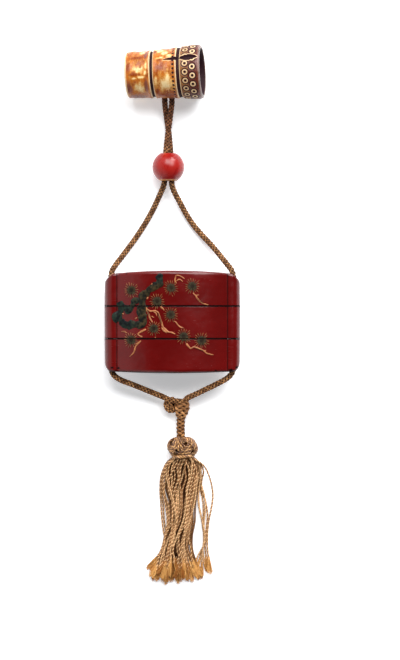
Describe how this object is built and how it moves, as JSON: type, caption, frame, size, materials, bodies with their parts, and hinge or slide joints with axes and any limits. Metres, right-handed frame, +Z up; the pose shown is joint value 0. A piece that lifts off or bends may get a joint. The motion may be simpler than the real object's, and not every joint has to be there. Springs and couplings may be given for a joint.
{
  "type": "inro case",
  "caption": "Flat tiered lacquer case with lift-off sections, threaded on braided cords with a sliding bead, a horn toggle and a knotted tassel.",
  "frame": {"origin": "centre of the flat on the back of the case, on the surface the set lies on", "axes": "+Z up, out of the back of the case towards its decorated front; +Y along the case from its foot to its lid and on to the toggle; +X to the right seen from the front"},
  "size_m": [0.0624, 0.2484, 0.0249],
  "materials": {
    "red_lacquer": "polished deep red lacquer over wood, worn dark at the edges, with raised green and gold pine",
    "coral": "polished red coral",
    "stained_horn": "polished stag antler, stained honey brown and purple, with cut and inked ornament",
    "braid": "round silk braid, brown and tan",
    "tassel_silk": "twisted tan silk strings with frayed golden ends"
  },
  "bodies": {
    "root": {"lid": "red_lacquer", "middle_section": "red_lacquer", "bottom_section": "red_lacquer", "ojime_bead": "coral", "netsuke": "stained_horn", "cord_left": "braid", "cord_right": "braid", "netsuke_knot": "braid", "cord_knot": "braid", "tassel_neck": "tassel_silk", "tassel_head": "tassel_silk", "tassel_skirt": "tassel_silk"}
  },
  "joints": []
}
